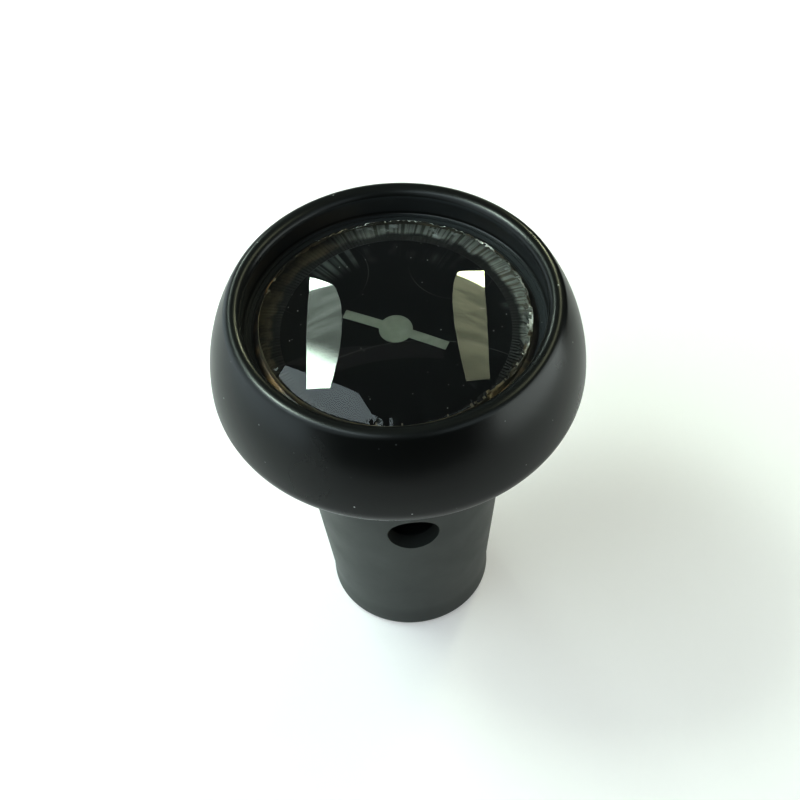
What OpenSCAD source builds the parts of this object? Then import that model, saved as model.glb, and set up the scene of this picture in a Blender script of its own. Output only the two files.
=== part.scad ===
// Survey prism in a round head that turns on a tapered socket stem.
// Z runs up the optical axis from the foot of the stem. The cross hole runs along Y. Millimetres.

/* [Head] */
// Largest diameter of the head
head_d = 53; // [50:0.5:60]
// Height of the head's lower edge above the foot
head_z = 47.25; // [46:0.25:60]
// Height of the crest above the head's lower edge
head_h = 15.65; // [15.5:0.05:18]
// Diameter of the head's lower edge
edge_d = 50.9; // [50:0.1:51.5]
// Diameter of the ridge line along the crest
crest_d = 44.7; // [44:0.1:45.6]
// Radius of the rounded crest
crest_r = 1.4; // [0.4:0.1:1.4]

/* [Optics] */
// Diameter of the domed lens
lens_d = 38; // [36:0.1:38.4]
// Height of the lens's upper rim above the head's lower edge
lens_rim_h = 12.05; // [11.5:0.05:13]
// Height of the lens's ground edge
lens_edge_h = 5.5; // [4:0.1:6]
// Rise of the dome above its rim
lens_sag = 5; // [3:0.1:7]
// Clear diameter of the corner-cube prism
prism_d = 25; // [20:0.5:25]
// Length of the target mark's bar
mark_l = 13.8; // [8:0.1:16]
// Width of the target mark's bar
mark_w = 1.3; // [0.8:0.1:2]
// Diameter of the target mark's disc
mark_disc_d = 4.2; // [3:0.1:6]
// Direction of the bar in the lens plane
mark_angle = -28; // [-90:1:90]

/* [Stem] */
// Diameter of the straight band at the foot
foot_d = 24.4; // [24:0.1:26]
// Height of the straight band at the foot
foot_h = 3.9; // [2:0.1:6]
// Diameter that the taper would reach at the head's lower edge
taper_d = 33.3; // [32:0.1:34]
// Diameter of the thrust flange under the head
flange_d = 38; // [36:0.5:40]
// Diameter of the cross hole
cross_d = 7.6; // [5:0.1:8]
// Height of the cross hole's axis
cross_z = 28.1; // [27:0.1:29]
// Minor diameter of the 5/8 in socket thread
thread_d = 13.8; // [13.4:0.1:14]
// Length of the thread insert
insert_l = 19.7; // [14:0.1:20]

/* [Fasteners] */
// Number of cover screws
screw_n = 4; // [3:1:6]
// Thread diameter of a cover screw
screw_d = 2; // [1.6:0.1:2.2]
// Head diameter of a cover screw
screw_head_d = 3.8; // [3.2:0.1:3.8]

/* [Hidden] */
$fn = 96;

eps = 0.01;
arc_n = 20;

// Outside of the head: a bulge from the equator to the crest, and a tighter turn below it
equator_h = 2.8;
crest_cr = crest_d / 2;
crest_cz = head_z + head_h - crest_r;
equator_z = head_z + equator_h;
crest_in = head_d / 2 - crest_cr;
crest_up = crest_cz - equator_z;
bulge_r = (crest_in * crest_in + crest_up * crest_up - crest_r * crest_r)
    / (2 * (crest_in - crest_r));
bulge_cr = head_d / 2 - bulge_r;
bulge_end = atan2(crest_up, crest_cr - bulge_cr);
edge_in = (head_d - edge_d) / 2;
lower_r = (edge_in * edge_in + equator_h * equator_h) / (2 * edge_in);
lower_cr = head_d / 2 - lower_r;
lower_start = -asin(equator_h / lower_r);

// Inside of the head, from the recess down
ledge_r = 21.1;
ledge_z = head_z + 11.15;
web_r = 19.5;
lens_z = head_z + lens_rim_h - lens_edge_h;
chamber_r = 20.2;
cover_z = head_z + 0.4;
cover_h = 1.5;
gasket_h = 0.3;
cover_top_z = cover_z + cover_h;
land_z = cover_top_z + gasket_h;
rebate_r = 23.9;
slack = 0.05;
screw_r = 21.9;
thread_grip = 3.2;

// Optical stack under the lens
gasket_z = lens_z - gasket_h;
plate_h = 1.2;
plate_z = gasket_z - plate_h;
mark_h = 0.1;
prism_face_z = plate_z - 0.4;
prism_rim_h = 1;
prism_r = prism_d / 2;
apex_z = prism_face_z - prism_rim_h - prism_r * sqrt(2);
cell_gap = 0.1;
cell_wall = 1.1;
cell_r = prism_r + cell_gap + cell_wall;
flange_z = plate_z - 1.2;
ring_z = flange_z - 0.95;
cell_floor = 1.3;
cell_end_z = apex_z - 0.6;

// Swivel
neck_r = 15.45;
neck_bore_r = cell_r + 0.2;
neck_top_z = flange_z - 0.2;
bush_r = 16.8;
clip_h = 0.8;
clip_z = neck_top_z - 0.25 - clip_h;
clip_groove_r = 14.95;
washer_h = 0.28;
shoulder_z = cover_z - 0.3;
thrust_gap = 0.02;
flange_h = 1.95;
fillet_r = 3;
seal_r = 0.42;
seal_z = shoulder_z - 1.1;

// Stem bore
foot_chamfer = 1;
seat_r = 9.5;
seat_flange_r = 10.7;
seat_flange_h = 1.5;
insert_z = 0.3;
lip_r = 8;
lip_h = 2;
mid_r = 12;
mid_z = insert_z + insert_l + lip_h;
step_z = 40;

function arc(cr, cz, r, from, to, n = arc_n) =
    [for (i = [0:n]) let (a = from + (to - from) * i / n) [cr + r * cos(a), cz + r * sin(a)]];

// Outer radius of the stem's taper at a height
function taper_at(z) = foot_d / 2 + (taper_d - foot_d) / 2 * (z - foot_h) / (head_z - foot_h);

module ring(inner, outer, z, h) {
    translate([0, 0, z]) rotate_extrude()
        translate([inner, 0]) square([outer - inner, h]);
}

module around(n, r) {
    for (i = [0:n - 1]) rotate([0, 0, 360 * (i + 0.5) / n]) translate([r, 0, 0]) children();
}

// Head ---------------------------------------------------------------------------------------

module head_shell() {
    color([0.05, 0.055, 0.06]) difference() {
        rotate_extrude() polygon(concat(
            arc(lower_cr, equator_z, lower_r, lower_start, 0, 6),
            arc(bulge_cr, equator_z, bulge_r, 0, bulge_end),
            arc(crest_cr, crest_cz, crest_r, bulge_end, 180),
            [
                [ledge_r, ledge_z], [web_r, ledge_z], [web_r, lens_z],
                [chamber_r, lens_z], [chamber_r, land_z], [rebate_r, land_z],
                [rebate_r, head_z]
            ]
        ));
        around(screw_n, screw_r)
            translate([0, 0, land_z - eps]) cylinder(d = screw_d, h = thread_grip + 0.3);
    }
}

// Bead of sealant that bonds the lens in its seat and fills the corner against the ledge
module lens_bond() {
    bead_h = 0.5;
    color([0.1, 0.1, 0.1]) rotate_extrude() polygon([
        [lens_d / 2, lens_z + 0.4], [web_r, lens_z + 0.4], [web_r, ledge_z],
        [web_r + bead_h, ledge_z], [web_r, ledge_z + bead_h * 0.4],
        [lens_d / 2, ledge_z + bead_h]
    ]);
}

module dome_lens() {
    lens_r = lens_d / 2;
    dome_r = (lens_r * lens_r + lens_sag * lens_sag) / (2 * lens_sag);
    rim_z = lens_z + lens_edge_h;
    dome_cz = rim_z + lens_sag - dome_r;
    bevel = 0.25;
    color([0.75, 0.82, 0.82, 0.4]) rotate_extrude() polygon(concat(
        [[0, lens_z], [lens_r - bevel, lens_z], [lens_r, lens_z + bevel]],
        arc(0, dome_cz, dome_r, asin((rim_z - dome_cz) / dome_r), 90, 2 * arc_n)
    ));
}

module lens_gasket() {
    color([0.12, 0.12, 0.12]) ring(14.8, chamber_r - slack, gasket_z, gasket_h);
}

// Bar with a disc at its middle, printed on the filter plate
module target_mark() {
    color([0.45, 0.47, 0.45]) translate([0, 0, gasket_z]) rotate([0, 0, mark_angle])
        linear_extrude(mark_h) {
            square([mark_l, mark_w], center = true);
            circle(d = mark_disc_d);
        }
}

module filter_plate() {
    color([0.03, 0.03, 0.035]) ring(0, chamber_r - 0.1, plate_z, plate_h);
}

// Retroreflector ------------------------------------------------------------------------------

module prism_gasket() {
    color([0.6, 0.45, 0.3]) ring(prism_r - 1.5, prism_r, prism_face_z, plate_z - prism_face_z);
}

// Half-infinite cube corner with its point down and its diagonal upright
module cube_corner(side = 60) {
    translate([0, 0, apex_z])
        rotate([0, -atan(sqrt(2)), 0]) rotate([0, 0, -45]) cube(side);
}

module corner_prism() {
    color([0.8, 0.88, 0.9, 0.4]) intersection() {
        cube_corner();
        translate([0, 0, apex_z]) cylinder(r = prism_r, h = prism_face_z - apex_z);
    }
}

// Inside of the prism cell: a bore for the rim and a cone for the three faces
module cell_cavity() {
    r = prism_r + cell_gap;
    rotate_extrude() polygon([
        [0, apex_z - 0.1], [r, apex_z - 0.1 + r / sqrt(2)], [r, plate_z], [0, plate_z]
    ]);
}

// Silicone pads between the prism's faces and the cell's cone
module prism_pads() {
    pad_angle = 60;
    low = 5.7;
    high = 8.7;
    function cone_r(up) = (up + 0.1) * sqrt(2);
    color([0.85, 0.83, 0.78]) difference() {
        for (i = [0:2]) rotate([0, 0, 60 + 120 * i - pad_angle / 2]) translate([0, 0, apex_z])
            rotate_extrude(angle = pad_angle) polygon([
                [1, low], [cone_r(low), low], [cone_r(high), high], [1, high]
            ]);
        cube_corner();
    }
}

module prism_cell() {
    cone_top_z = apex_z - 0.1 - cell_floor + cell_r / sqrt(2);
    end_r = (cell_end_z - apex_z + 0.1 + cell_floor) * sqrt(2);
    color([0.16, 0.16, 0.17]) difference() {
        rotate_extrude() polygon([
            [0, cell_end_z], [end_r, cell_end_z], [cell_r, cone_top_z],
            [cell_r, flange_z], [chamber_r - 0.1, flange_z], [chamber_r - 0.1, plate_z],
            [0, plate_z]
        ]);
        cell_cavity();
    }
}

// Threaded ring that clamps the optical stack, with two spanner slots
module optics_ring() {
    ring_r = chamber_r - slack;
    color([0.14, 0.14, 0.15]) difference() {
        ring(18.7, ring_r, ring_z, flange_z - ring_z);
        for (side = [-1, 1]) translate([side * 19.4 - 1.2, -0.6, ring_z - eps])
            cube([2.4, 1.2, 0.5]);
    }
}

// Underside -----------------------------------------------------------------------------------

module cover_gasket() {
    color([0.1, 0.1, 0.1]) difference() {
        ring(chamber_r + 0.1, rebate_r - slack, cover_top_z, gasket_h);
        around(screw_n, screw_r)
            translate([0, 0, cover_top_z - eps]) cylinder(d = screw_d, h = gasket_h + 2 * eps);
    }
}

module base_cover() {
    head_depth = (screw_head_d - screw_d) / 2;
    color([0.09, 0.095, 0.1]) difference() {
        ring(bush_r, rebate_r - slack, cover_z, cover_h);
        around(screw_n, screw_r) {
            translate([0, 0, cover_z - eps]) cylinder(d = screw_d, h = cover_h + 2 * eps);
            translate([0, 0, cover_z])
                cylinder(d1 = screw_head_d, d2 = screw_d, h = head_depth);
        }
    }
}

module cover_screws() {
    head_depth = (screw_head_d - screw_d) / 2;
    socket_af = 1.3;
    color([0.25, 0.25, 0.26]) around(screw_n, screw_r) difference() {
        translate([0, 0, cover_z]) union() {
            cylinder(d1 = screw_head_d, d2 = screw_d, h = head_depth);
            translate([0, 0, head_depth - eps])
                cylinder(d = screw_d, h = cover_h + gasket_h + thread_grip - head_depth);
        }
        translate([0, 0, cover_z - eps]) cylinder(d = socket_af / cos(30), h = 0.8, $fn = 6);
    }
}

// Swivel --------------------------------------------------------------------------------------

module swivel_bush() {
    color([0.9, 0.88, 0.82]) ring(neck_r + slack, bush_r, cover_z, cover_h);
}

// Closed ring of spring strip with three waves
module wave_spring() {
    low_z = cover_top_z + thrust_gap;
    strip_h = 0.25;
    wave = (clip_z - low_z - strip_h) / 2;
    steps = 60;
    function corner(i, r, dz) = let (a = 360 * i / steps)
        [r * cos(a), r * sin(a), low_z + wave * (1 + sin(3 * a)) + dz];
    points = [for (i = [0:steps - 1]) each [
        corner(i, 15.7, 0), corner(i, 17.2, 0), corner(i, 17.2, strip_h), corner(i, 15.7, strip_h)
    ]];
    faces = [for (i = [0:steps - 1], k = [0:3]) let (
            a = 4 * i, b = 4 * ((i + 1) % steps), m = (k + 1) % 4
        ) each [[a + k, b + k, b + m], [a + k, b + m, a + m]]];
    color([0.7, 0.7, 0.72]) polyhedron(points, faces);
}

// Snap ring in the neck's groove, with an eye at each side of its gap
module snap_ring() {
    gap_angle = 24;
    eye_r = 16.6;
    color([0.35, 0.35, 0.37]) translate([0, 0, clip_z]) difference() {
        union() {
            rotate([0, 0, gap_angle / 2]) rotate_extrude(angle = 360 - gap_angle)
                translate([clip_groove_r + slack, 0]) square([1.45, clip_h]);
            for (side = [-1, 1]) rotate([0, 0, side * (gap_angle / 2 + 3)])
                translate([eye_r, 0, 0]) cylinder(d = 1.4, h = clip_h);
        }
        for (side = [-1, 1]) rotate([0, 0, side * (gap_angle / 2 + 3)])
            translate([eye_r, 0, -eps]) cylinder(d = 0.7, h = clip_h + 2 * eps);
    }
}

module thrust_washer() {
    color([0.92, 0.92, 0.9]) ring(neck_r + slack, flange_d / 2 - 0.4, shoulder_z, washer_h);
}

// O-ring in the neck's bore that keeps dust out of the head
module swivel_seal() {
    color([0.08, 0.08, 0.08]) rotate_extrude()
        translate([cell_r + slack + seal_r, seal_z]) circle(r = seal_r);
}

// Stem ----------------------------------------------------------------------------------------

module stem() {
    flange_r = flange_d / 2;
    flange_low_z = shoulder_z - flange_h;
    fillet_z = flange_low_z - fillet_r;
    groove_r = cell_r + slack + 2 * seal_r;
    groove_h = 1.3;
    color([0.2, 0.22, 0.22]) difference() {
        rotate_extrude() polygon(concat(
            [
                [seat_flange_r, 0], [foot_d / 2 - foot_chamfer, 0],
                [foot_d / 2, foot_chamfer], [foot_d / 2, foot_h], [taper_at(fillet_z), fillet_z]
            ],
            arc(taper_at(fillet_z) + fillet_r, fillet_z, fillet_r, 174, 90, 8),
            [
                [flange_r - 0.3, flange_low_z], [flange_r, flange_low_z + 0.3],
                [flange_r, shoulder_z - 0.3], [flange_r - 0.3, shoulder_z],
                [neck_r, shoulder_z], [neck_r, clip_z], [clip_groove_r, clip_z],
                [clip_groove_r, clip_z + clip_h], [neck_r, clip_z + clip_h],
                [neck_r, neck_top_z], [neck_bore_r, neck_top_z],
                [neck_bore_r, seal_z + groove_h / 2], [groove_r, seal_z + groove_h / 2],
                [groove_r, seal_z - groove_h / 2], [neck_bore_r, seal_z - groove_h / 2],
                [neck_bore_r, step_z], [mid_r, step_z], [mid_r, mid_z], [lip_r, mid_z],
                [lip_r, mid_z - lip_h], [seat_r, mid_z - lip_h],
                [seat_r, seat_flange_h + insert_z], [seat_flange_r, seat_flange_h + insert_z]
            ]
        ));
        translate([0, -head_d, cross_z]) rotate([-90, 0, 0]) cylinder(d = cross_d, h = 2 * head_d);
    }
}

// Brass socket for the pole's stud, with a flange and a bond groove
module thread_insert() {
    mouth = 0.8;
    bore_r = thread_d / 2;
    top_z = insert_z + insert_l;
    groove_z = insert_z + insert_l / 2;
    color([0.75, 0.6, 0.3]) rotate_extrude() polygon([
        [bore_r + mouth, insert_z], [seat_flange_r, insert_z],
        [seat_flange_r, insert_z + seat_flange_h], [seat_r, insert_z + seat_flange_h],
        [seat_r, groove_z - 1], [seat_r - 0.4, groove_z - 1], [seat_r - 0.4, groove_z + 1],
        [seat_r, groove_z + 1], [seat_r, top_z], [bore_r, top_z], [bore_r, insert_z + mouth]
    ]);
}

head_shell();
lens_bond();
dome_lens();
lens_gasket();
target_mark();
filter_plate();
prism_gasket();
corner_prism();
prism_pads();
prism_cell();
optics_ring();
cover_gasket();
base_cover();
cover_screws();
swivel_bush();
wave_spring();
snap_ring();
thrust_washer();
swivel_seal();
stem();
thread_insert();
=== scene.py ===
"""Survey prism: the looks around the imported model, in its own frame, in metres with +Z up."""

import math

import bmesh
import bpy
from mathutils import Matrix, Vector, noise


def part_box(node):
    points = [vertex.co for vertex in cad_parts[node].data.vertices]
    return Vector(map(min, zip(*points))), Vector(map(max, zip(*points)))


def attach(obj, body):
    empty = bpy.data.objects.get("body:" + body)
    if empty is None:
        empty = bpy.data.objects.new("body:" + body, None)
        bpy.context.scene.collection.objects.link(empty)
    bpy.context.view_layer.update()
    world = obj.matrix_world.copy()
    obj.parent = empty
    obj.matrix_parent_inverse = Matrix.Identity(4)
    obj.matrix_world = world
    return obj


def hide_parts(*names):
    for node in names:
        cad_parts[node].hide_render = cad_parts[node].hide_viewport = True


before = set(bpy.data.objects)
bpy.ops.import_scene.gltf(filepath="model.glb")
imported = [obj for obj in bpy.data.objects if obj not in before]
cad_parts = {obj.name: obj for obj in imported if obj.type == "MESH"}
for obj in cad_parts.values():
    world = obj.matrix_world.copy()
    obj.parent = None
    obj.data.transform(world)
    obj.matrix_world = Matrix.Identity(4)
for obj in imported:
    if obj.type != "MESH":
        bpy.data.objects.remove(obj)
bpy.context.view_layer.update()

MM = 0.001
TURN = 2 * math.pi


# Measures that the frame gives ------------------------------------------------------------------

HEAD_LOW, HEAD_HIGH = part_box("head_shell")
LENS_LOW, LENS_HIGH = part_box("dome_lens")
GASKET_LOW, GASKET_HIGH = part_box("lens_gasket")
PLATE_LOW, PLATE_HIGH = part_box("filter_plate")
MARK_LOW, MARK_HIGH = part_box("target_mark")
BOND_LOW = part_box("lens_bond")[0]
STEM_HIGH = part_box("stem")[1]
INSERT_LOW, INSERT_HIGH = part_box("thread_insert")
COVER_LOW, COVER_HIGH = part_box("base_cover")

HEAD_R = HEAD_HIGH.x
LENS_R = LENS_HIGH.x


# Measures of the head ---------------------------------------------------------------------------

LENS_SAG = 5 * MM
LENS_RIM_Z = LENS_HIGH.z - LENS_SAG
CREST_R = 22.35 * MM
CREST_ROUND = 1.4 * MM
CREST_Z = HEAD_HIGH.z - CREST_ROUND
EQUATOR_Z = HEAD_LOW.z + 2.8 * MM
EDGE_R = 25.45 * MM
LEDGE_R = 21.1 * MM
LEDGE_Z = HEAD_LOW.z + 11.15 * MM
WEB_R = 19.5 * MM
CHAMBER_R = 20.2 * MM
REBATE_R = 23.9 * MM
REBATE_Z = COVER_HIGH.z + 0.3 * MM
MARK_ANGLE = math.radians(-28)
MARK_LENGTH = 13.8 * MM
MARK_WIDTH = 1.3 * MM
MARK_DISC_R = 2.1 * MM


# Measures of the stem and its socket ------------------------------------------------------------

FOOT_R = 12.2 * MM
FOOT_H = 3.9 * MM
TAPER_R = 16.65 * MM
NECK_R = 15.45 * MM
NECK_BORE_R = 13.9 * MM
NECK_FLOOR_Z = 40 * MM
HOLLOW_R = 12 * MM
HOLLOW_Z = 22 * MM
LIP_R = 8 * MM
SEAT_R = 9.5 * MM
SEAT_Z = 20 * MM
FLANGE_SEAT_R = 10.7 * MM
FLANGE_SEAT_Z = 1.8 * MM
CROSS_HOLE_R = 3.8 * MM
CROSS_HOLE_Z = 28.1 * MM
SHOULDER_Z = COVER_LOW.z - 0.3 * MM
THREAD_PITCH = 25.4 * MM / 11
THREAD_MINOR_R = 6.9 * MM
THREAD_DEPTH = 1.0 * MM


# Measures of the studio -------------------------------------------------------------------------

CAMERA_AZIMUTH = math.radians(-2.5)
LAMP_Z = 0.463
LAMP_BRIGHT = 30
CARD_ABOVE_LAMPS = 0.004
BLUISH = (0.84, 0.96, 1)
GREENISH = (0.93, 1, 0.97)
BLACK = (0, 0, 0)


# Mesh helpers -----------------------------------------------------------------------------------

def arc(cr, cz, r, start, end, steps):
    """Points (radius, height) along an arc in the profile plane, angles in degrees."""
    points = []
    for i in range(steps + 1):
        a = math.radians(start + (end - start) * i / steps)
        points.append((cr + r * math.cos(a), cz + r * math.sin(a)))
    return points


def line(a, b, steps):
    """Points from a up to but not including b."""
    return [(a[0] + (b[0] - a[0]) * i / steps, a[1] + (b[1] - a[1]) * i / steps) for i in range(steps)]


def lathe_rows(bm, profile, segments, warp):
    """One ring of vertices for each profile point, or the same vertex all round for a point on the axis."""
    rows = []
    for r, z in profile:
        if r < 1e-7:
            rows.append([bm.verts.new((0, 0, z))] * segments)
            continue
        row = []
        for i in range(segments):
            a = TURN * i / segments
            rr, zz = warp(r, a, z) if warp else (r, z)
            row.append(bm.verts.new((rr * math.cos(a), rr * math.sin(a), zz)))
        rows.append(row)
    return rows


def lathe(name, profile, segments=256, warp=None, slots=None, paint=None):
    """A closed profile of (radius, height) points turned about Z. warp(radius, angle, height) may move
    a point, slots gives the material index of the strip that starts at each profile point, and
    paint(index, radius, angle) may change that index face by face."""
    bm = bmesh.new()
    rows = lathe_rows(bm, profile, segments, warp)
    for k, low in enumerate(rows):
        high = rows[(k + 1) % len(rows)]
        if low[0] is low[1] and high[0] is high[1]:
            continue
        for i in range(segments):
            j = (i + 1) % segments
            corners = []
            for v in (low[i], low[j], high[j], high[i]):
                if v not in corners:
                    corners.append(v)
            face = bm.faces.new(corners)
            index = slots[k] if slots else 0
            if paint:
                index = paint(index, profile[k][0], TURN * (i + 0.5) / segments)
            face.material_index = index
    bmesh.ops.recalc_face_normals(bm, faces=bm.faces)
    return finish_mesh(name, bm)


def finish_mesh(name, bm, sharp=35):
    """Turns a bmesh into a smooth object with sharp edges where it bends by more than sharp degrees."""
    mesh = bpy.data.meshes.new(name)
    bm.to_mesh(mesh)
    bm.free()
    mesh.polygons.foreach_set("use_smooth", [True] * len(mesh.polygons))
    mesh.set_sharp_from_angle(angle=math.radians(sharp))
    piece = bpy.data.objects.new(name, mesh)
    bpy.context.scene.collection.objects.link(piece)
    return piece


def place(piece, body, slot, materials, *nodes):
    """Gives a piece its body and materials, and hides the CAD nodes that it stands for. The slot argument is
    not used.
    """
    for material in materials:
        piece.data.materials.append(material)
    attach(piece, body)
    if nodes:
        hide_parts(*nodes)
    return piece


# Materials --------------------------------------------------------------------------------------

class Surface:
    """A Principled material with short names for the procedural detail that every surface here uses."""

    def __init__(self, name, color, roughness, **sockets):
        self.material = bpy.data.materials.new(name)
        self.material.use_nodes = True
        self.tree = self.material.node_tree
        self.shader = self.tree.nodes["Principled BSDF"]
        self.color = (*color, 1)
        self.roughness = roughness
        self.shader.inputs["Base Color"].default_value = self.color
        self.shader.inputs["Roughness"].default_value = roughness
        for key, value in sockets.items():
            self.shader.inputs[key.replace("_", " ")].default_value = value
        self.place = self.tree.nodes.new("ShaderNodeTexCoord").outputs["Object"]

    def node(self, kind, **settings):
        """A new shader node with these settings."""
        made = self.tree.nodes.new(kind)
        for key, value in settings.items():
            setattr(made, key, value)
        return made

    def link(self, output, socket):
        self.tree.links.new(output, socket)

    def noise(self, scale, detail=4, stretch=(1, 1, 1), rough=0.55):
        """Cloudy noise over the piece, with scale cells to the metre."""
        mapping = self.node("ShaderNodeMapping")
        mapping.inputs["Scale"].default_value = stretch
        self.link(self.place, mapping.inputs["Vector"])
        made = self.node("ShaderNodeTexNoise")
        made.inputs["Scale"].default_value = scale
        made.inputs["Detail"].default_value = detail
        made.inputs["Roughness"].default_value = rough
        self.link(mapping.outputs["Vector"], made.inputs["Vector"])
        return made.outputs["Fac"]

    def ramp(self, value, low, high, out_low=0.0, out_high=1.0):
        """Goes smoothly from out_low to out_high as value goes from low to high."""
        made = self.node("ShaderNodeMapRange", interpolation_type="SMOOTHSTEP")
        limits = {"From Min": low, "From Max": high, "To Min": out_low, "To Max": out_high}
        for key, number in limits.items():
            made.inputs[key].default_value = number
        self.link(value, made.inputs["Value"])
        return made.outputs["Result"]

    def math(self, operation, a, b):
        """One Math node. Each of a and b is a number or another node's output."""
        made = self.node("ShaderNodeMath", operation=operation)
        for socket, value in zip(made.inputs, (a, b)):
            if isinstance(value, (int, float)):
                socket.default_value = value
            else:
                self.link(value, socket)
        return made.outputs[0]

    def specks(self, scale, size, seed=0.0):
        """Small round specks, 1 inside and 0 outside, scattered at random."""
        cells = self.node("ShaderNodeTexVoronoi", feature="F1")
        cells.inputs["Scale"].default_value = scale
        offset = self.node("ShaderNodeMapping")
        offset.inputs["Location"].default_value = (seed, seed, seed)
        self.link(self.place, offset.inputs["Vector"])
        self.link(offset.outputs["Vector"], cells.inputs["Vector"])
        return self.ramp(cells.outputs["Distance"], size, size * 0.6)

    def mix_color(self, factor, other):
        """Blends another colour over what the base colour socket holds now."""
        mix = self.node("ShaderNodeMix", data_type="RGBA")
        socket = self.shader.inputs["Base Color"]
        if socket.is_linked:
            self.link(socket.links[0].from_socket, mix.inputs["A"])
        else:
            mix.inputs["A"].default_value = socket.default_value
        mix.inputs["B"].default_value = (*other, 1)
        self.link(factor, mix.inputs["Factor"])
        self.link(mix.outputs["Result"], socket)

    def vary_roughness(self, factor, low, high):
        """Lets the roughness go from low to high with factor."""
        self.link(self.ramp(factor, 0, 1, low, high), self.shader.inputs["Roughness"])

    def bump(self, height, distance, strength=1.0):
        """Adds a bump on top of those that the normal has by now."""
        made = self.node("ShaderNodeBump")
        made.inputs["Distance"].default_value = distance
        made.inputs["Strength"].default_value = strength
        self.link(height, made.inputs["Height"])
        socket = self.shader.inputs["Normal"]
        if socket.is_linked:
            self.link(socket.links[0].from_socket, made.inputs["Normal"])
        self.link(made.outputs["Normal"], socket)

    def streaks(self, scale, detail=3):
        """Noise that only changes around the Z axis, so it makes streaks that point at the axis."""
        split = self.node("ShaderNodeSeparateXYZ")
        self.link(self.place, split.inputs["Vector"])
        around = self.math("ARCTAN2", split.outputs["Y"], split.outputs["X"])
        made = self.node("ShaderNodeTexNoise", noise_dimensions="1D")
        made.inputs["Scale"].default_value = scale
        made.inputs["Detail"].default_value = detail
        self.link(around, made.inputs["W"])
        return made.outputs["Fac"]

    def axis_height(self):
        """Height above the foot, in metres."""
        split = self.node("ShaderNodeSeparateXYZ")
        self.link(self.place, split.inputs["Vector"])
        return split.outputs["Z"]

    def axis_distance(self):
        """Distance from the Z axis, in metres."""
        split = self.node("ShaderNodeSeparateXYZ")
        self.link(self.place, split.inputs["Vector"])
        squares = [self.math("MULTIPLY", split.outputs[k], split.outputs[k]) for k in ("X", "Y")]
        return self.math("SQRT", self.math("ADD", *squares), 0)


def gloss_black():
    """The outside of the head: glossy black, with a painted highlight along its lower edge and a little dust.
    """
    s = Surface("gloss_black", (0.0095, 0.011, 0.0105), 0.28, IOR=1.5)
    s.vary_roughness(s.noise(60, 5), 0.24, 0.34)
    # Painted highlight: a pale band along the lower edge, broken up by noise, stands in for the edge catching
    # the floor's light.
    edge = s.ramp(s.axis_height(), HEAD_LOW.z + 0.28 * MM, HEAD_LOW.z + 0.08 * MM)
    edge_zone = s.math("MULTIPLY", edge, s.ramp(s.noise(700, 3), 0.3, 0.55, 0.4, 1.0))
    s.mix_color(edge_zone, (0.3, 0.31, 0.3))
    dust = s.math("MULTIPLY", s.specks(420, 0.07), s.ramp(s.noise(45, 2), 0.46, 0.6))
    s.mix_color(dust, (0.6, 0.62, 0.6))
    s.bump(s.noise(2600, 3), 0.004 * MM, 0.35)
    return s.material


def recess_black():
    """The wall of the recess: the same black, but dull, and painted a little lighter and bluer as painted
    light for the reflections on this shaded wall.
    """
    # Painted light: the lighter, bluer base and its cloudy lift stand in for the reflections that brighten
    # the recess wall; the dust specks are the wall's own.
    s = Surface("recess_black", (0.036, 0.041, 0.043), 0.4, IOR=1.5)
    s.mix_color(s.ramp(s.noise(70, 5), 0.4, 0.7, 0, 0.6), (0.05, 0.057, 0.059))
    dust = s.math("MULTIPLY", s.specks(480, 0.06, 1.7), s.ramp(s.noise(60, 2), 0.5, 0.64))
    s.mix_color(dust, (0.4, 0.42, 0.4))
    s.vary_roughness(s.noise(90, 4), 0.32, 0.46)
    s.bump(s.noise(2600, 3), 0.005 * MM, 0.4)
    return s.material


def satin_dark():
    """The stem: a dark turned surface with fine rings."""
    s = Surface("satin_dark", (0.076, 0.086, 0.08), 0.45, IOR=1.5)
    s.mix_color(s.ramp(s.noise(90, 6), 0.35, 0.7, 0, 0.5), (0.106, 0.118, 0.11))
    s.vary_roughness(s.noise(160, 4), 0.36, 0.5)
    rings = s.noise(1, 2, (40, 40, 9000))
    s.bump(rings, 0.004 * MM, 0.4)
    s.bump(s.noise(5200, 2), 0.003 * MM, 0.5)
    return s.material


def polished_glass():
    """The dome: clear, with faint smears."""
    s = Surface("polished_glass", (0.97, 0.985, 0.975), 0.0, IOR=1.5)
    s.shader.inputs["Transmission Weight"].default_value = 1
    s.vary_roughness(s.ramp(s.noise(120, 4), 0.5, 0.8), 0.0, 0.035)
    return s.material


def cemented_glass():
    """The flat underside of the glass, cemented over, so it neither bends nor reflects light."""
    s = Surface("cemented_glass", (0.97, 0.985, 0.975), 0.0, IOR=1.0)
    s.shader.inputs["Transmission Weight"].default_value = 1
    s.vary_roughness(s.ramp(s.noise(260, 3), 0.55, 0.8), 0.0, 0.02)
    return s.material


def lamp_side_reach(s):
    """Rises towards the side between +Y and +X, in metres, which faces the right lamp; it masks painted light
    on that side.
    """
    split = s.node("ShaderNodeSeparateXYZ")
    s.link(s.place, split.inputs["Vector"])
    return s.math("ADD", split.outputs["Y"], split.outputs["X"])


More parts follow.
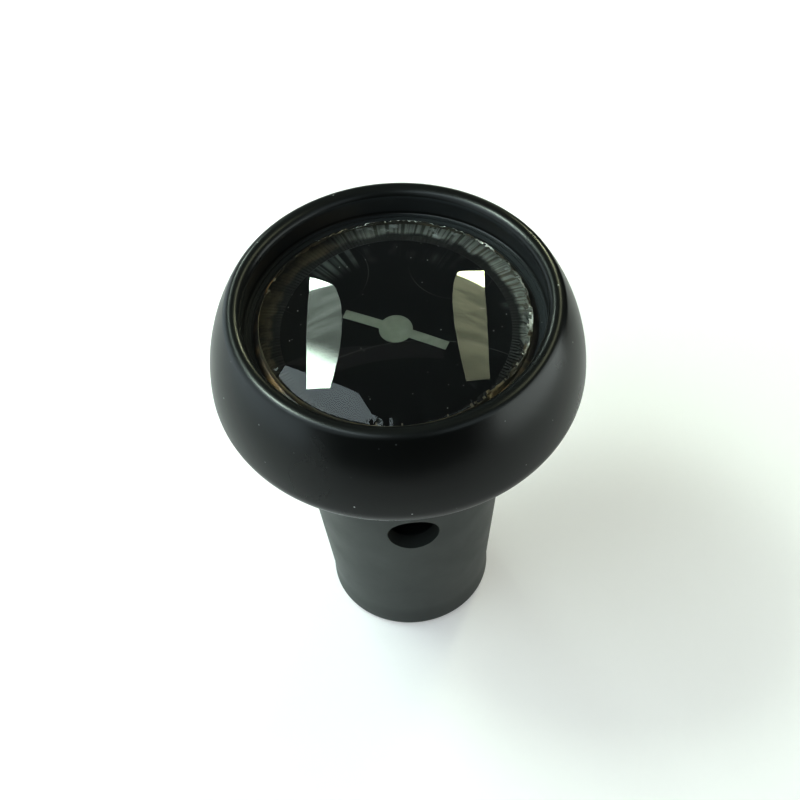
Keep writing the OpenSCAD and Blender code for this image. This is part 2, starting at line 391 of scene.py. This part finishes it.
def ground_glass():
    """The rough wall and rim of the glass: dull and stained, with its chipped rim painted near white on the
    side that faces the right lamp, a painted highlight.
    """
    s = Surface("ground_glass", (0.16, 0.14, 0.105), 0.5, IOR=1.5)
    s.shader.inputs["Transmission Weight"].default_value = 0.3
    s.mix_color(s.ramp(s.noise(220, 5), 0.5, 0.7), (0.36, 0.28, 0.16))
    rim = s.ramp(s.axis_height(), LENS_RIM_Z - 0.75 * MM, LENS_RIM_Z - 0.35 * MM)
    # Painted highlight: the chips along the rim are painted near white only on the side between +X and +Y,
    # where the right lamp lights them.
    glint_side = s.ramp(lamp_side_reach(s), 2 * MM, 14 * MM)
    patches = s.math("MULTIPLY", s.ramp(s.noise(330, 5), 0.42, 0.54), glint_side)
    s.mix_color(s.math("MULTIPLY", rim, patches), (0.95, 0.96, 0.93))
    s.vary_roughness(s.noise(400, 3), 0.35, 0.7)
    s.bump(s.noise(3500, 4), 0.03 * MM, 0.8)
    return s.material


def sealant():
    """The bead around the glass: dark, with brown and golden patches."""
    s = Surface("sealant", (0.05, 0.046, 0.04), 0.4)
    s.mix_color(s.ramp(s.noise(260, 5), 0.55, 0.75), (0.2, 0.16, 0.1))
    s.mix_color(s.ramp(s.noise(55, 3), 0.56, 0.66, 0, 0.8), (0.5, 0.31, 0.15))
    s.vary_roughness(s.noise(300, 3), 0.3, 0.55)
    s.bump(s.noise(900, 4), 0.05 * MM, 0.6)
    return s.material


def pale_ribbed():
    """The ribbed ring: brown and dull for most of its turn, with pale combs painted only towards the side
    that faces the right lamp as painted light, and darker towards its inner edge.
    """
    s = Surface("pale_ribbed", (0.05, 0.043, 0.033), 0.5)
    s.mix_color(s.ramp(s.noise(150, 5), 0.48, 0.62), (0.15, 0.12, 0.075))
    # Painted light: the pale combs and whitish smears are the ring's own marks, but they are painted only
    # towards the side that faces the right lamp, so that side's light is painted in.
    lit_side = s.ramp(lamp_side_reach(s), 7 * MM, 16 * MM)
    comb = s.ramp(s.streaks(34, 4), 0.36, 0.6, 0.25, 1.0)
    s.mix_color(s.math("MULTIPLY", lit_side, comb), (0.5, 0.51, 0.475))
    s.mix_color(s.math("MULTIPLY", lit_side, s.ramp(s.noise(420, 5), 0.58, 0.68)), (0.8, 0.82, 0.8))
    # Darker towards its inner edge, along a ragged boundary.
    ragged = s.math("ADD", s.axis_distance(), s.math("MULTIPLY", s.noise(300, 4), 2.6 * MM))
    edge_zone = s.ramp(ragged, 18.1 * MM, 17.0 * MM)
    s.mix_color(edge_zone, (0.012, 0.013, 0.012))
    s.vary_roughness(s.noise(300, 3), 0.35, 0.6)
    s.bump(s.noise(1800, 4), 0.03 * MM, 0.7)
    return s.material


def printed_grey():
    """The mark: a matt grey with a fine grain."""
    s = Surface("printed_grey", (0.228, 0.24, 0.206), 0.6)
    s.mix_color(s.ramp(s.noise(900, 4), 0.4, 0.7, 0, 0.4), (0.285, 0.3, 0.26))
    s.bump(s.noise(7000, 2), 0.004 * MM, 0.5)
    return s.material


def fine_ring(s, center, radius, width):
    """A hairline circle seen from above, 1 on the line, broken up by noise."""
    split = s.node("ShaderNodeSeparateXYZ")
    s.link(s.place, split.inputs["Vector"])
    offsets = [s.math("SUBTRACT", split.outputs[k], c) for k, c in zip(("X", "Y"), center)]
    squares = [s.math("MULTIPLY", offset, offset) for offset in offsets]
    away = s.math("SQRT", s.math("ADD", *squares), 0)
    miss = s.math("ABSOLUTE", s.math("SUBTRACT", away, radius), 0)
    return s.math("MULTIPLY", s.ramp(miss, width, width * 0.3), s.ramp(s.noise(55, 2), 0.42, 0.6))


def dark_filter():
    """The plate under the glass: nearly black, with hairline arcs, pale radial smears near its rim painted
    lighter on the side that faces the right lamp, and dust.
    """
    s = Surface("dark_filter", (0.011, 0.013, 0.0135), 0.45, IOR=1.2)
    s.vary_roughness(s.ramp(s.noise(140, 5), 0.4, 0.8), 0.38, 0.55)
    hairlines = ((-9, 10, 6.5), (8, 9.5, 5.5), (1, -30, 28))
    for x, y, radius in hairlines:
        line_here = fine_ring(s, (x * MM, y * MM), radius * MM, 0.09 * MM)
        s.mix_color(line_here, (0.09, 0.095, 0.09))
    # Pale radial smears near the rim, masked to the half towards the right lamp: real smears, with the light
    # scattered in from the lit chips painted into them.
    outer = s.ramp(s.axis_distance(), 10.5 * MM, 14 * MM)
    zone = s.math("MULTIPLY", outer, s.ramp(s.noise(75, 3), 0.5, 0.62))
    zone = s.math("MULTIPLY", zone, s.ramp(lamp_side_reach(s), -8 * MM, 4 * MM))
    s.mix_color(s.math("MULTIPLY", zone, s.ramp(s.streaks(9, 4), 0.4, 0.62)), (0.17, 0.185, 0.18))
    dust = s.math("MULTIPLY", s.specks(900, 0.1, 3.1), s.ramp(s.noise(160, 2), 0.46, 0.6))
    s.mix_color(dust, (0.5, 0.51, 0.5))
    s.bump(s.noise(500, 3), 0.002 * MM, 0.3)
    return s.material


def machined_brass():
    """The threaded socket: turned brass with darker, tarnished clouds."""
    s = Surface("machined_brass", (0.62, 0.45, 0.2), 0.3, Metallic=1.0)
    s.mix_color(s.ramp(s.noise(180, 5), 0.5, 0.75), (0.36, 0.25, 0.12))
    s.vary_roughness(s.noise(350, 3), 0.22, 0.42)
    s.bump(s.noise(1, 2, (60, 60, 7000)), 0.004 * MM, 0.5)
    return s.material


def turned_black(name="turned_black"):
    """A black coated metal face with rings around the axis."""
    s = Surface(name, (0.018, 0.019, 0.02), 0.42, IOR=1.4)
    s.mix_color(s.ramp(s.noise(200, 4), 0.5, 0.8, 0, 0.6), (0.035, 0.036, 0.036))
    s.vary_roughness(s.noise(240, 3), 0.34, 0.52)
    rings = s.node("ShaderNodeTexNoise", noise_dimensions="1D")
    rings.inputs["Scale"].default_value = 5500
    s.link(s.axis_distance(), rings.inputs["W"])
    s.bump(rings.outputs["Fac"], 0.004 * MM, 0.5)
    return s.material


def plain(name, color, roughness, metallic=0.0, grain=900, spread=0.25, **sockets):
    """A quieter surface for the pieces inside: cloudy colour, uneven gloss and a fine grain."""
    s = Surface(name, color, roughness, Metallic=metallic, **sockets)
    s.mix_color(s.ramp(s.noise(grain * 0.15, 5), 0.4, 0.75, 0, spread), tuple(c * 0.55 for c in color))
    s.vary_roughness(s.noise(grain * 0.3, 3), roughness * 0.8, min(1, roughness * 1.25))
    s.bump(s.noise(grain * 3, 3), 0.01 * MM, 0.4)
    return s.material


# Head -------------------------------------------------------------------------------------------

def head_outside(soft):
    """Outline of the head from its lower edge, rounded by soft, over the bulge and the crest."""
    inward = HEAD_R - CREST_R
    upward = CREST_Z - EQUATOR_Z
    bulge = (inward ** 2 + upward ** 2 - CREST_ROUND ** 2) / (2 * (inward - CREST_ROUND))
    bulge_cr = HEAD_R - bulge
    bulge_end = math.degrees(math.atan2(upward, CREST_R - bulge_cr))
    drop = EQUATOR_Z - HEAD_LOW.z
    under = HEAD_R - EDGE_R
    lower = (under ** 2 + drop ** 2) / (2 * under)
    lower_cr = HEAD_R - lower
    lower_start = -math.degrees(math.asin(drop / lower))
    edge = arc(EDGE_R - soft, HEAD_LOW.z + soft, soft, -90, -8, 6)
    side = arc(lower_cr, EQUATOR_Z, lower, lower_start * 0.86, 0, 8)
    bulged = arc(bulge_cr, EQUATOR_Z, bulge, 0, bulge_end, 36)[1:]
    crest = arc(CREST_R, CREST_Z, CREST_ROUND, bulge_end, 180, 28)[1:]
    return edge + side + bulged + crest


def head_inside(soft):
    """Outline of the head from the ledge in the recess down to its lower edge, rounded by soft."""
    fillet = 0.15 * MM
    groove = 0.5 * MM
    groove_z = LEDGE_Z - 0.2 * MM
    seat_z = LEDGE_Z - 0.45 * MM
    return [
        (LEDGE_R + fillet, LEDGE_Z + 0.5 * MM),
        (LEDGE_R + 0.05 * MM, LEDGE_Z + 0.12 * MM),
        (LEDGE_R - 0.1 * MM, LEDGE_Z),
        (LEDGE_R - 0.45 * MM, LEDGE_Z),
        (LEDGE_R - groove, groove_z),
        (WEB_R + groove, groove_z),
        (WEB_R + 0.42 * MM, seat_z),
        (WEB_R, seat_z),
        (WEB_R, LENS_LOW.z),
        (CHAMBER_R, LENS_LOW.z),
        (CHAMBER_R, REBATE_Z),
        (REBATE_R, REBATE_Z),
        (REBATE_R, HEAD_LOW.z + soft),
        (REBATE_R + soft, HEAD_LOW.z),
    ]


def make_head():
    """The head ring: glossy outside and over its crest, dull in the recess."""
    soft = 0.18 * MM

    def paint(index, r, angle):
        return 1 if r <= CREST_R - CREST_ROUND * 0.9 else index

    shell = lathe("head_ring", head_outside(soft) + head_inside(soft), 320, paint=paint)
    return place(shell, "head", "head_shell", [gloss_black(), recess_black()], "head_shell")


# Glass ------------------------------------------------------------------------------------------

def chip_depth(angle, height):
    """How deep the glass is chipped at its rim, in metres, and worse on the side between +X and +Y."""
    p = Vector((math.cos(angle), math.sin(angle), height * 90))
    patch = noise.noise(p * 2.3 + Vector((4.0, 1.0, 7.0))) + 0.55 * math.cos(angle - 0.6)
    bite = noise.noise(p * 17) * 0.6 + noise.noise(p * 41) * 0.4
    return max(0.0, patch * 0.6 + bite - 0.12) * 0.9 * MM


def lens_profile():
    """Outline of the glass from its bevelled foot over the dome and back, and the material of each strip."""
    dome_r = (LENS_R ** 2 + LENS_SAG ** 2) / (2 * LENS_SAG)
    dome_cz = LENS_HIGH.z - dome_r
    rim_angle = math.degrees(math.asin((LENS_RIM_Z - dome_cz) / dome_r))
    bevel = 0.3 * MM
    rim_low = LENS_RIM_Z - 0.2 * MM
    rings = 12
    side = line((LENS_R, LENS_LOW.z + bevel), (LENS_R, rim_low), 16)
    edge = [(LENS_R, rim_low), (LENS_R - 0.04 * MM, LENS_RIM_Z - 0.06 * MM)]
    dome = arc(0, dome_cz, dome_r, rim_angle + 0.25, 90, 56)
    flat = [(LENS_R * k / rings, LENS_LOW.z) for k in range(rings)]
    profile = side + edge + dome[:-1] + [(0, LENS_HIGH.z)] + flat + [(LENS_R - bevel, LENS_LOW.z)]
    slots = [1] * (len(side) + len(edge)) + [0] * len(dome) + [2] * len(flat) + [1]
    return profile, slots


def make_lens():
    """The domed glass, with a chipped rim, a polished dome, a ground wall and a cemented underside."""
    near_rim = 0.6 * MM
    profile, slots = lens_profile()

    def warp(r, angle, z):
        near = max(0.0, 1 - abs(z - LENS_RIM_Z) / near_rim)
        if r < LENS_R * 0.9 or near == 0:
            return r, z
        depth = chip_depth(angle, z) * near
        return r - depth, z - depth * 0.4

    def paint(index, r, angle):
        chipped = r > LENS_R - chip_depth(angle, LENS_RIM_Z) - 0.1 * MM
        return 1 if index == 0 and chipped and r > LENS_R * 0.9 else index

    lens = lathe("domed_glass", profile, 512, warp, slots, paint)
    return place(lens, "head", "dome_lens", [polished_glass(), ground_glass(), cemented_glass()], "dome_lens")


def make_bond():
    """The bead of sealant between the glass and its seat, uneven along its top."""
    inner = LENS_R + 0.02 * MM
    outer = WEB_R - 0.02 * MM
    profile = [
        (inner, BOND_LOW.z),
        (outer, BOND_LOW.z),
        (outer, LEDGE_Z - 0.5 * MM),
        (WEB_R + 0.25 * MM, LEDGE_Z - 0.4 * MM),
        (WEB_R + 0.1 * MM, LEDGE_Z - 0.18 * MM),
        (WEB_R - 0.2 * MM, LEDGE_Z - 0.02 * MM),
        (inner, LEDGE_Z + 0.1 * MM),
    ]

    def warp(r, angle, z):
        if z < LEDGE_Z - 0.45 * MM:
            return r, z
        wave = noise.noise(Vector((math.cos(angle) * 9, math.sin(angle) * 9, 2.0)))
        ripple = noise.noise(Vector((math.cos(angle) * 34, math.sin(angle) * 34, 5.0)))
        return r, z + (wave * 0.12 + ripple * 0.05 - 0.05) * MM

    bead = lathe("sealant_bead", profile, 288, warp)
    return place(bead, "head", "lens_bond", [sealant()], "lens_bond")


def make_gasket():
    """The pale ring under the glass, with fine ribs that fan out from its middle."""
    inner = 14.8 * MM
    outer = GASKET_HIGH.x
    top = GASKET_HIGH.z - 0.02 * MM
    ribs = 210
    rib_h = 0.12 * MM
    crests = [(inner + (outer - inner) * k / 10, top) for k in range(11)]
    profile = [(inner, GASKET_LOW.z), (inner, top - 0.1 * MM)] + crests + [(outer, GASKET_LOW.z)]

    def warp(r, angle, z):
        if z < top - 0.05 * MM:
            return r, z
        p = Vector((math.cos(angle), math.sin(angle), 0))
        uneven = 0.55 + 0.45 * noise.noise(p * 30)
        rib = 0.5 + 0.5 * math.cos(angle * ribs + 1.5 * noise.noise(p * 8))
        return r, z - rib_h * rib * uneven

    ring = lathe("ribbed_gasket", profile, ribs * 6, warp)
    return place(ring, "head", "lens_gasket", [pale_ribbed()], "lens_gasket")


def mark_outline():
    """Corners of a bar with a disc at its middle, anticlockwise, along +X."""
    half_l, half_w = MARK_LENGTH / 2, MARK_WIDTH / 2
    meet = math.asin(half_w / MARK_DISC_R)
    steps = 40
    points = [(half_l, -half_w), (half_l, half_w)]
    for i in range(steps + 1):
        a = meet + (math.pi - 2 * meet) * i / steps
        points.append((MARK_DISC_R * math.cos(a), MARK_DISC_R * math.sin(a)))
    points += [(-half_l, half_w), (-half_l, -half_w)]
    for i in range(steps + 1):
        a = math.pi + meet + (math.pi - 2 * meet) * i / steps
        points.append((MARK_DISC_R * math.cos(a), MARK_DISC_R * math.sin(a)))
    return points


def make_mark():
    """The mark: a flat bar with a disc, turned in the plane of the glass."""
    bm = bmesh.new()
    turn = Matrix.Rotation(MARK_ANGLE, 3, "Z")
    rise = Vector((0, 0, MARK_LOW.z))
    low = [bm.verts.new(turn @ Vector((x, y, 0)) + rise) for x, y in mark_outline()]
    face = bm.faces.new(low)
    made = bmesh.ops.extrude_face_region(bm, geom=[face])
    top = [v for v in made["geom"] if isinstance(v, bmesh.types.BMVert)]
    bmesh.ops.translate(bm, verts=top, vec=(0, 0, MARK_HIGH.z - MARK_LOW.z))
    bmesh.ops.recalc_face_normals(bm, faces=bm.faces)
    mark = finish_mesh("bar_and_disc", bm)
    return place(mark, "head", "target_mark", [printed_grey()], "target_mark")


def make_plate():
    """The bevelled dark plate under the mark."""
    r = PLATE_HIGH.x
    bevel = 0.15 * MM
    low, high = PLATE_LOW.z, PLATE_HIGH.z
    profile = [(0, low), (r - bevel, low), (r, low + bevel)]
    profile += [(r, high - bevel), (r - bevel, high), (0, high)]
    plate = lathe("dark_plate", profile, 192)
    return place(plate, "head", "filter_plate", [dark_filter()], "filter_plate")


# Stem -------------------------------------------------------------------------------------------

def cut(piece, cutter):
    """Takes cutter away from piece for good."""
    change = piece.modifiers.new("cut", "BOOLEAN")
    change.operation = "DIFFERENCE"
    change.solver = "EXACT"
    change.object = cutter
    graph = bpy.context.evaluated_depsgraph_get()
    result = bpy.data.meshes.new_from_object(piece.evaluated_get(graph))
    piece.modifiers.clear()
    old = piece.data
    piece.data = result
    bpy.data.meshes.remove(old)
    bpy.data.objects.remove(cutter)
    piece.data.set_sharp_from_angle(angle=math.radians(35))


def rod(name, r, start, end, segments=96):
    """A plain cylinder between two points, only used to cut with."""
    bm = bmesh.new()
    reach = end - start
    bmesh.ops.create_cone(bm, cap_ends=True, segments=segments, radius1=r, radius2=r, depth=reach.length)
    turn = Vector((0, 0, 1)).rotation_difference(reach).to_matrix().to_4x4()
    bmesh.ops.transform(bm, matrix=Matrix.Translation((start + end) / 2) @ turn, verts=bm.verts)
    return finish_mesh(name, bm)


def taper(z):
    """Outer radius of the stem's cone at a height."""
    return FOOT_R + (TAPER_R - FOOT_R) * (z - FOOT_H) / (HEAD_LOW.z - FOOT_H)


def stem_outside():
    """Outline of the stem from the foot's face up to the top of the flange."""
    flange_r = STEM_HIGH.x
    flange_low = SHOULDER_Z - 1.95 * MM
    fillet = 3 * MM
    fillet_z = flange_low - fillet
    foot_round = 1 * MM
    edge_round = 0.3 * MM
    foot = arc(FOOT_R - foot_round, foot_round, foot_round, -90, 0, 10)
    band = line((FOOT_R, foot_round), (FOOT_R, FOOT_H), 3)[1:]
    cone = line((FOOT_R, FOOT_H), (taper(fillet_z), fillet_z), 40)
    flare = arc(taper(fillet_z) + fillet, fillet_z, fillet, 174, 90, 12)
    flange = arc(flange_r - edge_round, flange_low + edge_round, edge_round, -90, 0, 5)
    flange += arc(flange_r - edge_round, SHOULDER_Z - edge_round, edge_round, 0, 90, 5)
    return foot + band + cone + flare + flange


def stem_inside():
    """Outline of the stem from the neck with its ring groove, down through the hollow to the foot."""
    groove_r = NECK_R - 0.5 * MM
    groove_low = STEM_HIGH.z - 1.05 * MM
    groove_high = STEM_HIGH.z - 0.25 * MM
    neck = [
        (NECK_R, SHOULDER_Z),
        (NECK_R, groove_low),
        (groove_r, groove_low),
        (groove_r, groove_high),
        (NECK_R, groove_high),
        (NECK_R, STEM_HIGH.z),
        (NECK_BORE_R, STEM_HIGH.z),
        (NECK_BORE_R, NECK_FLOOR_Z),
        (HOLLOW_R, NECK_FLOOR_Z),
    ]
    hollow = line((HOLLOW_R, NECK_FLOOR_Z - 1 * MM), (HOLLOW_R, HOLLOW_Z), 12)
    socket = [
        (HOLLOW_R, HOLLOW_Z),
        (LIP_R, HOLLOW_Z),
        (LIP_R, SEAT_Z),
        (SEAT_R, SEAT_Z),
        (SEAT_R, FLANGE_SEAT_Z),
        (FLANGE_SEAT_R, FLANGE_SEAT_Z),
        (FLANGE_SEAT_R, 0),
    ]
    return neck + hollow + socket


def make_stem():
    """The tapered stem, with the cross hole cut through it along Y."""
    stem = lathe("tapered_stem", stem_outside() + stem_inside(), 288)
    reach = 30 * MM
    cutter = rod("hole", CROSS_HOLE_R, Vector((0, -reach, CROSS_HOLE_Z)), Vector((0, reach, CROSS_HOLE_Z)))
    cut(stem, cutter)
    return place(stem, "stem", "stem", [satin_dark()], "stem")


def make_insert():
    """The brass socket, with a real right-hand thread of 11 turns to the inch cut into its bore."""
    flange = INSERT_HIGH.x
    low, high = INSERT_LOW.z, INSERT_HIGH.z
    flange_top = low + 1.5 * MM
    run_out = 0.2 * MM
    lead_in = 0.9 * MM
    rows = 150
    outside = [(flange, low), (flange, flange_top), (SEAT_R, flange_top), (SEAT_R, high)]
    bore = [(THREAD_MINOR_R, high + (low - high) * k / rows) for k in range(rows + 1)]

    def warp(r, angle, z):
        if r > THREAD_MINOR_R + 1e-6:
            return r, z
        phase = (z / THREAD_PITCH - angle / TURN) % 1
        tooth = max(0.0, min(1.0, 1.25 * (1 - abs(2 * phase - 1)) - 0.12))
        fade = min(1.0, (z - low) / run_out, (high - z) / run_out) if low < z < high else 0.0
        lead = max(0.0, 1 - (z - low) / lead_in) * lead_in
        return r + max(THREAD_DEPTH * tooth * fade, lead), z

    socket = lathe("threaded_socket", outside + bore, 144, warp)
    return place(socket, "stem", "thread_insert", [machined_brass()], "thread_insert")


# Pieces that keep their CAD shape ---------------------------------------------------------------

def dress_cad_nodes():
    """Gives each piece that keeps its CAD shape a material of its own."""
    clear = Surface("prism_glass", (0.95, 0.98, 0.98), 0.02, IOR=1.52)
    clear.shader.inputs["Transmission Weight"].default_value = 1
    clear.vary_roughness(clear.ramp(clear.noise(200, 4), 0.5, 0.8), 0.0, 0.05)
    looks = {
        "corner_prism": clear.material,
        "prism_gasket": plain("fibre", (0.42, 0.3, 0.18), 0.85),
        "prism_pads": plain("silicone", (0.75, 0.73, 0.67), 0.5),
        "prism_cell": plain("black_acetal", (0.025, 0.025, 0.027), 0.38),
        "optics_ring": turned_black("clamp_ring_black"),
        "cover_gasket": plain("black_rubber", (0.015, 0.015, 0.015), 0.75),
        "base_cover": turned_black(),
        "cover_screws": plain("black_oxide", (0.06, 0.06, 0.062), 0.35, 0.9),
        "swivel_bush": plain("bearing_plastic", (0.62, 0.58, 0.48), 0.5),
        "wave_spring": plain("spring_steel", (0.5, 0.5, 0.52), 0.3, 1.0),
        "snap_ring": plain("phosphated_steel", (0.1, 0.1, 0.105), 0.45, 0.9),
        "thrust_washer": plain("washer_plastic", (0.7, 0.7, 0.66), 0.45),
        "swivel_seal": plain("seal_rubber", (0.012, 0.012, 0.012), 0.6),
    }
    for name, material in looks.items():
        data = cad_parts[name].data
        data.materials.clear()
        data.materials.append(material)


# Studio -----------------------------------------------------------------------------------------

def make_floor():
    """A plain white floor that glows a little."""
    half_width = 1.6
    bm = bmesh.new()
    bmesh.ops.create_grid(bm, x_segments=8, y_segments=8, size=half_width)
    floor = finish_mesh("floor", bm)
    s = Surface("white_sweep", (0.48, 0.48, 0.48), 0.8)
    s.shader.inputs["Emission Color"].default_value = (1, 1, 1, 1)
    s.shader.inputs["Emission Strength"].default_value = 0.41
    floor.data.materials.append(s.material)


def curve_point(points, t):
    """A point at t on the quadratic curve with these three control points."""
    a, b, c = (Vector(p) for p in points)
    return a * (1 - t) ** 2 + b * 2 * t * (1 - t) + c * t ** 2


def make_backdrop():
    """A plain pale wall far behind everything, only for the camera."""
    radius, height = 1.55, 1.6
    bm = bmesh.new()
    bmesh.ops.create_cone(bm, cap_ends=False, segments=96, radius1=radius, radius2=radius, depth=height)
    bmesh.ops.translate(bm, verts=bm.verts, vec=(0, 0, height / 2))
    wall = finish_mesh("backdrop", bm)
    wall.data.materials.append(glow_surface("backdrop", (1, 1, 1), 0.75).material)
    for kind in ("diffuse", "glossy", "transmission", "shadow"):
        setattr(wall, "visible_" + kind, False)


def glow_surface(name, color, strength=0.0):
    """A surface that only gives light."""
    s = Surface(name, BLACK, 1.0, IOR=1.0)
    s.shader.inputs["Emission Color"].default_value = (*color, 1)
    s.shader.inputs["Emission Strength"].default_value = strength
    return s


def face_down(face):
    """Turns a level face so that it looks down."""
    face.normal_update()
    if face.normal.z > 0:
        face.normal_flip()


def stage_mesh(name, bm, material, only_gloss=False):
    """Adds a lamp or card that the camera looks past. With only_gloss it neither lights nor shades matt
    surfaces, and only shows in glossy ones."""
    made = finish_mesh(name, bm)
    made.data.materials.append(material)
    made.matrix_world = Matrix.Rotation(CAMERA_AZIMUTH, 4, "Z")
    made.visible_camera = False
    if only_gloss:
        made.visible_diffuse = False
        made.visible_shadow = False


def lamp_strip(name, inner, outer, color, middle, ends):
    """One of two long lamps overhead, between two curves that each have three control points. ends lists
    its bright ends as (slope, start, full): the light rises where y + slope * |x| goes from start to full."""
    bm = bmesh.new()
    steps = 24
    rows = []
    for i in range(steps + 1):
        near, far = curve_point(inner, i / steps), curve_point(outer, i / steps)
        rows.append([bm.verts.new((p.x, p.y, LAMP_Z)) for p in (near, far)])
    for low, high in zip(rows, rows[1:]):
        face_down(bm.faces.new([low[0], low[1], high[1], high[0]]))
    s = glow_surface(name, color)
    split = s.node("ShaderNodeSeparateXYZ")
    s.link(s.place, split.inputs["Vector"])
    aside = s.math("ABSOLUTE", split.outputs["X"], 0)
    strength = s.ramp(s.noise(7, 6, (1, 3, 1)), 0.36, 0.64, middle * 0.78, middle * 1.16)
    for slope, start, full in ends:
        reach = s.math("ADD", split.outputs["Y"], s.math("MULTIPLY", aside, slope))
        strength = s.math("ADD", strength, s.ramp(reach, start, full, 0, LAMP_BRIGHT))
    s.link(strength, s.shader.inputs["Emission Strength"])
    stage_mesh(name, bm, s.material)


def card(name, start, end, low, high, color, strength):
    """An upright card from start to end (x, y) between two heights, lit or black, only seen in gloss."""
    bm = bmesh.new()
    corners = [(*start, low), (*end, low), (*end, high), (*start, high)]
    bm.faces.new([bm.verts.new(c) for c in corners])
    stage_mesh(name, bm, glow_surface(name, color, strength).material, True)


def flat_card(name, outline, color, strength):
    """A level card just above the lamps that lights what is below it."""
    bm = bmesh.new()
    face_down(bm.faces.new([bm.verts.new((x, y, LAMP_Z + CARD_ABOVE_LAMPS)) for x, y in outline]))
    stage_mesh(name, bm, glow_surface(name, color, strength).material)


def make_lamps():
    """The two long lamps that show as long reflections in the glass."""
    lamp_strip(
        "left_lamp",
        inner=((-0.225, 0), (-0.105, 0.2), (-0.24, 0.6)),
        outer=((-0.325, 0.03), (-0.27, 0.3), (-0.47, 1.05)),
        color=(0.86, 1, 0.9),
        middle=5.2,
        ends=((-0.65, 0.43, 0.47), (-0.9, -0.02, -0.15)),
    )
    lamp_strip(
        "right_lamp",
        inner=((0.215, -0.01), (0.13, 0.25), (0.29, 0.72)),
        outer=((0.315, 0.02), (0.28, 0.3), (0.54, 1.05)),
        color=(0.96, 1, 0.72),
        middle=4.6,
        ends=((0.35, 0.74, 0.78),),
    )


def make_side_cards():
    """Cards beside and in front of the object, which give the gloss on its head its light and dark bands."""
    left, right, front = -0.165, 0.16, -0.16
    behind = 0.001
    edge_top = 0.004
    card_top = 0.14
    card("left_edge", (left, front), (left, 0.3), 0.0, edge_top, BLACK, 0)
    card("left_card", (left - behind, -0.14), (left - behind, 0.22), edge_top, card_top, BLUISH, 2.4)
    card("right_edge", (right, front), (right, 0.3), 0.0, edge_top, BLACK, 0)
    card("right_card", (right + behind, -0.14), (right + behind, 0.04), edge_top, card_top, GREENISH, 3.6)
    card("right_gap", (right, 0.045), (0.06, 0.16), 0.0, 0.06, BLACK, 0)
    card("front_flag", (-0.13, front), (0.13, front), 0.0, 0.13, BLACK, 0)
    card("left_window", (-0.25, -0.13), (-0.1, -0.26), 0.12, 0.42, BLUISH, 1.3)
    card("right_window", (0.25, -0.13), (0.1, -0.26), 0.12, 0.42, BLUISH, 1.5)


def make_overhead_cards():
    """The key card that shows as a pale patch in the glass, and a faint veil across its middle."""
    key = [(-0.44, 0.19), (-0.3, 0.08), (-0.13, -0.04), (-0.08, -0.15)]
    key += [(-0.08, -0.35), (-0.6, -0.35), (-0.6, 0.1)]
    flat_card("key_card", key, BLUISH, 4.8)
    veil = [(-0.45, 0.2), (-0.05, 0.11), (0.14, 0.12), (0.14, 0.06), (-0.2, 0.05)]
    flat_card("veil_card", veil, (1, 1, 1), 0.35)


def make_camera():
    """The camera looks down at the front of the head, and sees the dome's top and the cross hole."""
    elevation = math.radians(49.9)
    roll = math.radians(3.76)
    distance = 262.5 * MM
    aim = Vector((0, 0, 49.875 * MM))
    ahead = Vector((0, math.cos(elevation), -math.sin(elevation)))
    up = Vector((0, math.sin(elevation), math.cos(elevation)))
    right = Vector((1, 0, 0))
    across = right * math.cos(roll) - up * math.sin(roll)
    upward = up * math.cos(roll) + right * math.sin(roll)
    basis = Matrix((across, upward, -ahead)).transposed()
    turn = Matrix.Rotation(CAMERA_AZIMUTH, 3, "Z")
    camera = bpy.data.objects.new("camera", bpy.data.cameras.new("camera"))
    camera.matrix_world = Matrix.Translation(aim - turn @ ahead * distance) @ (turn @ basis).to_4x4()
    camera.data.sensor_width = 36
    camera.data.lens = 83.43
    camera.data.shift_x = 0.0024
    camera.data.shift_y = -0.0467
    camera.data.clip_start = 0.01
    bpy.context.scene.collection.objects.link(camera)
    bpy.context.scene.camera = camera


def make_world():
    """A dim, slightly blue room, and a display gamma that darkens the middle tones."""
    world = bpy.data.worlds.new("room")
    world.use_nodes = True
    back = world.node_tree.nodes["Background"]
    back.inputs["Color"].default_value = (0.9, 0.97, 1, 1)
    back.inputs["Strength"].default_value = 0.14
    bpy.context.scene.world = world
    view = bpy.context.scene.view_settings
    view.view_transform = "Standard"
    view.gamma = 0.69


make_camera()
make_world()
make_lamps()
make_side_cards()
make_overhead_cards()
make_floor()
make_backdrop()
make_head()
make_lens()
make_bond()
make_gasket()
make_mark()
make_plate()
make_stem()
make_insert()
dress_cad_nodes()
